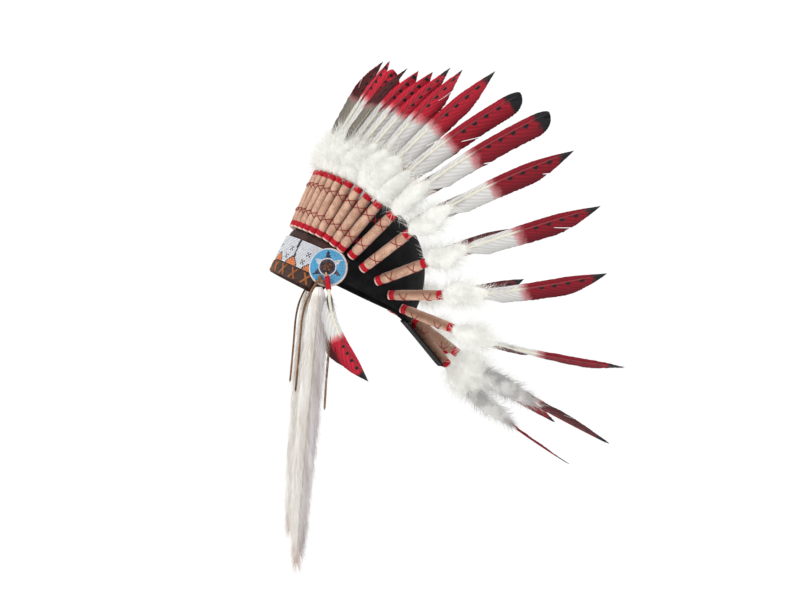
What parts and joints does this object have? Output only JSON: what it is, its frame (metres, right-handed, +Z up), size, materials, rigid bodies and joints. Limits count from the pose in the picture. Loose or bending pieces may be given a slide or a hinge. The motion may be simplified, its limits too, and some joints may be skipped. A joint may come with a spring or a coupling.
{
  "type": "feathered headdress",
  "caption": "Felt cap with a beaded brow band, feathers in leather wraps that stand out in a fan from brow to nape, and fur, thong and feather drops hanging at the temple rosettes.",
  "frame": {"origin": "middle of the head opening, level with the lower edge of the brow band", "axes": "+Z up, the wearer faces -Y and the wearer's left is +X, with the brow tipped up 26 degrees as in the picture"},
  "size_m": [0.4408, 0.4297, 0.6596],
  "materials": {
    "black_felt": "matt felt",
    "brown_suede": "matt suede",
    "white_beads": "small glossy beads",
    "dark_trim": "woven",
    "sky_beads": "small glossy beads",
    "dark_bronze": "dark and worn",
    "tan_hide": "matt suede",
    "feather": "soft barbs, white to red to black tip",
    "white_fur": "short soft fur",
    "brown_thong": "matt leather"
  },
  "bodies": {
    "root": {"cap": "black_felt", "brow_band": "brown_suede", "bead_panel": "white_beads", "cross_trim": "dark_trim", "rosette_left": "sky_beads", "rosette_right": "sky_beads", "button_left": "dark_bronze", "button_right": "dark_bronze", "wrap_row": "tan_hide", "wraps_nape": "tan_hide", "wrap_11_left": "tan_hide", "wrap_11_right": "tan_hide", "wrap_12_left": "tan_hide", "wrap_12_right": "tan_hide", "wrap_13_left": "tan_hide", "wrap_13_right": "tan_hide", "wrap_14_left": "tan_hide", "wrap_14_right": "tan_hide", "wrap_15_left": "tan_hide", "wrap_15_right": "tan_hide", "feather_01_left": "feather", "feather_01_right": "feather", "feather_02_left": "feather", "feather_02_right": "feather", "feather_03_left": "feather", "feather_03_right": "feather", "feather_04_left": "feather", "feather_04_right": "feather", "feather_05_left": "feather", "feather_05_right": "feather", "feather_06_left": "feather", "feather_06_right": "feather", "feather_07_left": "feather", "feather_07_right": "feather", "feather_08_left": "feather", "feather_08_right": "feather", "feather_09_left": "feather", "feather_09_right": "feather", "feather_10_left": "feather", "feather_10_right": "feather", "feather_11_left": "feather", "feather_11_right": "feather", "feather_12_left": "feather", "feather_12_right": "feather", "feather_13_left": "feather", "feather_13_right": "feather", "feather_14_left": "feather", "feather_14_right": "feather", "feather_15_left": "feather", "feather_15_right": "feather", "feather_16_left": "feather", "feather_16_right": "feather", "feather_nape": "feather", "fur_drop_left": "white_fur", "fur_drop_right": "white_fur", "thongs_left": "brown_thong", "thongs_right": "brown_thong", "drop_feather_left": "feather", "drop_feather_right": "feather"}
  },
  "joints": []
}
